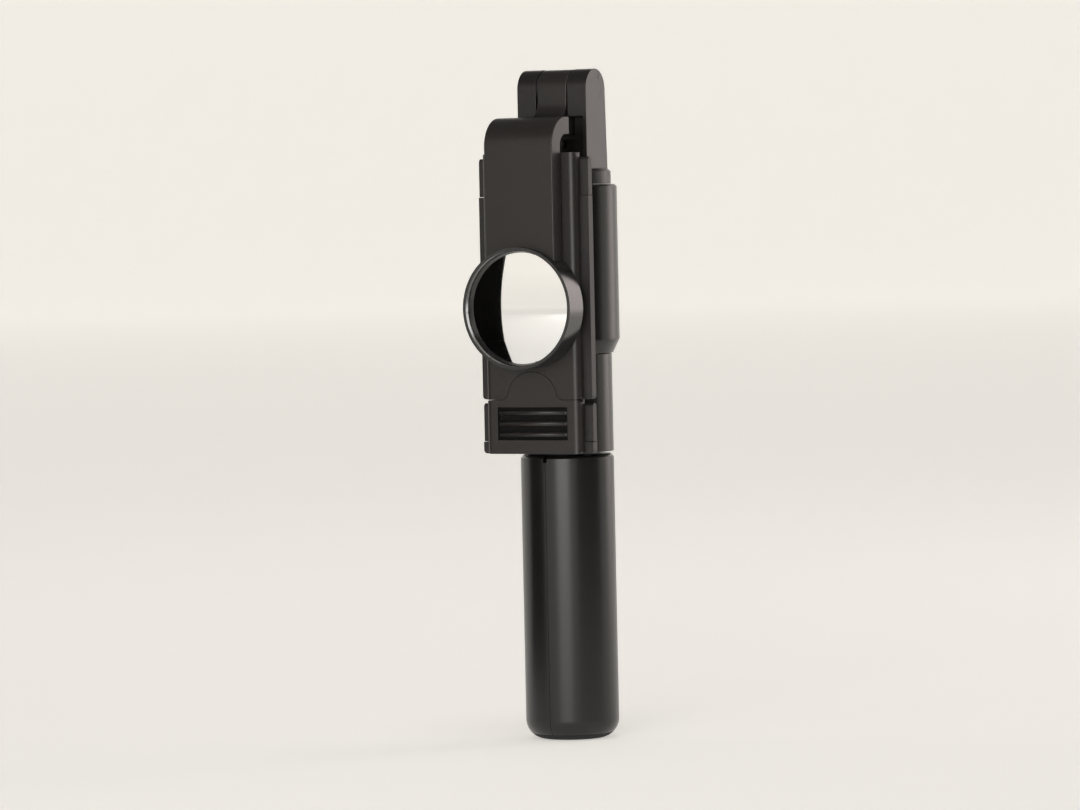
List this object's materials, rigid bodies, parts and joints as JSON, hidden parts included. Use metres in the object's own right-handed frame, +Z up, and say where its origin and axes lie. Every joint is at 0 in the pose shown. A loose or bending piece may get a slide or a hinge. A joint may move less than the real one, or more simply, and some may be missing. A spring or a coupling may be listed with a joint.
{
  "type": "folding selfie stick with tripod handle",
  "caption": "Pocket-size telescopic stick with a tripod handle, a tilting arm with a round mirror, and a sprung phone clamp that spins flat against the stick.",
  "frame": {"origin": "centre of the handle's base, on the floor, on the stick's axis", "axes": "+Z up the stick, -Y towards the mirror side, +X to the right seen from the mirror side"},
  "size_m": [0.0344, 0.0443, 0.186],
  "materials": {
    "handle_plastic": "satin black moulded plastic",
    "clamp_plastic": "semi-matt charcoal moulded plastic",
    "bezel_plastic": "glossy black",
    "black_rubber": "matt black rubber",
    "tube_metal": "brushed steel tube",
    "fastener_steel": "bright zinc-plated steel",
    "brass": "plain brass",
    "guide_nylon": "natural nylon",
    "mirror_glass": "silvered mirror",
    "circuit_board": "solder-masked board",
    "lamp_lens": "frosted lens"
  },
  "bodies": {
    "handle": {"leg_pins": "fastener_steel", "leg_hub": "handle_plastic", "grip_sleeve": "handle_plastic", "collar_shell": "handle_plastic", "tube_holder": "handle_plastic", "hub_screws": "fastener_steel", "tube_plug": "handle_plastic", "tube_0": "tube_metal"},
    "leg_rear": {"leg_rear": "handle_plastic", "foot_rear": "black_rubber"},
    "leg_front_right": {"leg_front_right": "handle_plastic", "foot_front_right": "black_rubber"},
    "leg_front_left": {"leg_front_left": "handle_plastic", "foot_front_left": "black_rubber"},
    "pole_1": {"tube_1": "tube_metal", "guide_1": "guide_nylon"},
    "pole_2": {"tube_2": "tube_metal", "guide_2": "guide_nylon"},
    "pole_3": {"tube_3": "tube_metal", "guide_3": "guide_nylon"},
    "pole_4": {"tube_4": "tube_metal", "guide_4": "guide_nylon"},
    "head": {"tube_5": "tube_metal", "guide_5": "guide_nylon", "neck_cap": "handle_plastic", "head_fork": "handle_plastic", "head_plug": "brass", "head_screw": "fastener_steel", "tilt_bolt": "fastener_steel", "tilt_nut": "fastener_steel", "tilt_caps": "handle_plastic"},
    "arm": {"arm": "clamp_plastic", "mirror_bezel": "bezel_plastic", "mirror": "mirror_glass", "hub_axle": "fastener_steel", "hub_nut": "fastener_steel", "wave_washer": "fastener_steel", "tilt_washers": "handle_plastic"},
    "clamp": {"friction_disc": "handle_plastic", "hub_bush": "guide_nylon", "clamp_cover": "clamp_plastic", "clamp_back": "clamp_plastic", "clamp_screws": "fastener_steel", "phone_pad": "black_rubber", "jaw_springs": "fastener_steel"},
    "jaw": {"jaw_grip": "clamp_plastic", "jaw_back": "clamp_plastic", "jaw_slider": "handle_plastic"},
    "upper_fingers": {"upper_fingers": "clamp_plastic", "upper_rod": "fastener_steel"},
    "lower_fingers": {"lower_fingers": "clamp_plastic", "lower_rod": "fastener_steel"},
    "shutter": {"shutter_case": "handle_plastic", "shutter_back": "handle_plastic", "shutter_board": "circuit_board", "shutter_cell": "fastener_steel", "shutter_lamp": "lamp_lens"},
    "shutter_button": {"shutter_button": "handle_plastic"}
  },
  "joints": [
    {"name": "leg_rear_hinge", "type": "hinge", "parent": "handle", "child": "leg_rear", "pos_m": [0, 0.0109, 0.0773], "axis": [1, 0, 0], "range_deg": [0, 30]},
    {"name": "leg_front_right_hinge", "type": "hinge", "parent": "handle", "child": "leg_front_right", "pos_m": [0.00944, -0.00545, 0.0773], "axis": [-0.5, -0.866, 0], "range_deg": [0, 30]},
    {"name": "leg_front_left_hinge", "type": "hinge", "parent": "handle", "child": "leg_front_left", "pos_m": [-0.00944, -0.00545, 0.0773], "axis": [-0.5, 0.866, 0], "range_deg": [0, 30]},
    {"name": "pole_1_slide", "type": "slide", "parent": "handle", "child": "pole_1", "axis": [0, 0, 1], "range_m": [0, 0.1028]},
    {"name": "pole_2_slide", "type": "slide", "parent": "pole_1", "child": "pole_2", "axis": [0, 0, 1], "range_m": [0, 0.1028]},
    {"name": "pole_3_slide", "type": "slide", "parent": "pole_2", "child": "pole_3", "axis": [0, 0, 1], "range_m": [0, 0.1028]},
    {"name": "pole_4_slide", "type": "slide", "parent": "pole_3", "child": "pole_4", "axis": [0, 0, 1], "range_m": [0, 0.1028]},
    {"name": "head_slide", "type": "slide", "parent": "pole_4", "child": "head", "axis": [0, 0, 1], "range_m": [0, 0.1028]},
    {"name": "arm_tilt", "type": "hinge", "parent": "head", "child": "arm", "pos_m": [0, 0.00068, 0.18047], "axis": [-1, 0, 0], "range_deg": [0, 195]},
    {"name": "clamp_spin", "type": "hinge", "parent": "arm", "child": "clamp", "pos_m": [0, -0.0195, 0.1203], "axis": [0, 1, 0], "continuous": true},
    {"name": "jaw_slide", "type": "slide", "parent": "clamp", "child": "jaw", "axis": [0, 0, 1], "range_m": [-0.025, 0], "stiffness_N_per_m": 150, "springref_m": 0.015, "deforming": ["jaw_springs"]},
    {"name": "upper_fingers_hinge", "type": "hinge", "parent": "clamp", "child": "upper_fingers", "pos_m": [0, -0.01505, 0.1605], "axis": [1, 0, 0], "range_deg": [0, 90]},
    {"name": "lower_fingers_hinge", "type": "hinge", "parent": "jaw", "child": "lower_fingers", "pos_m": [0, -0.01505, 0.09285], "axis": [1, 0, 0], "range_deg": [0, 90]},
    {"name": "shutter_release", "type": "slide", "parent": "handle", "child": "shutter", "axis": [0, 1, 0], "range_m": [0, 0.03]},
    {"name": "shutter_press", "type": "slide", "parent": "shutter", "child": "shutter_button", "axis": [0, -1, 0], "range_m": [0, 0.0005], "stiffness_N_per_m": 1500, "springref_m": -0.0002}
  ]
}
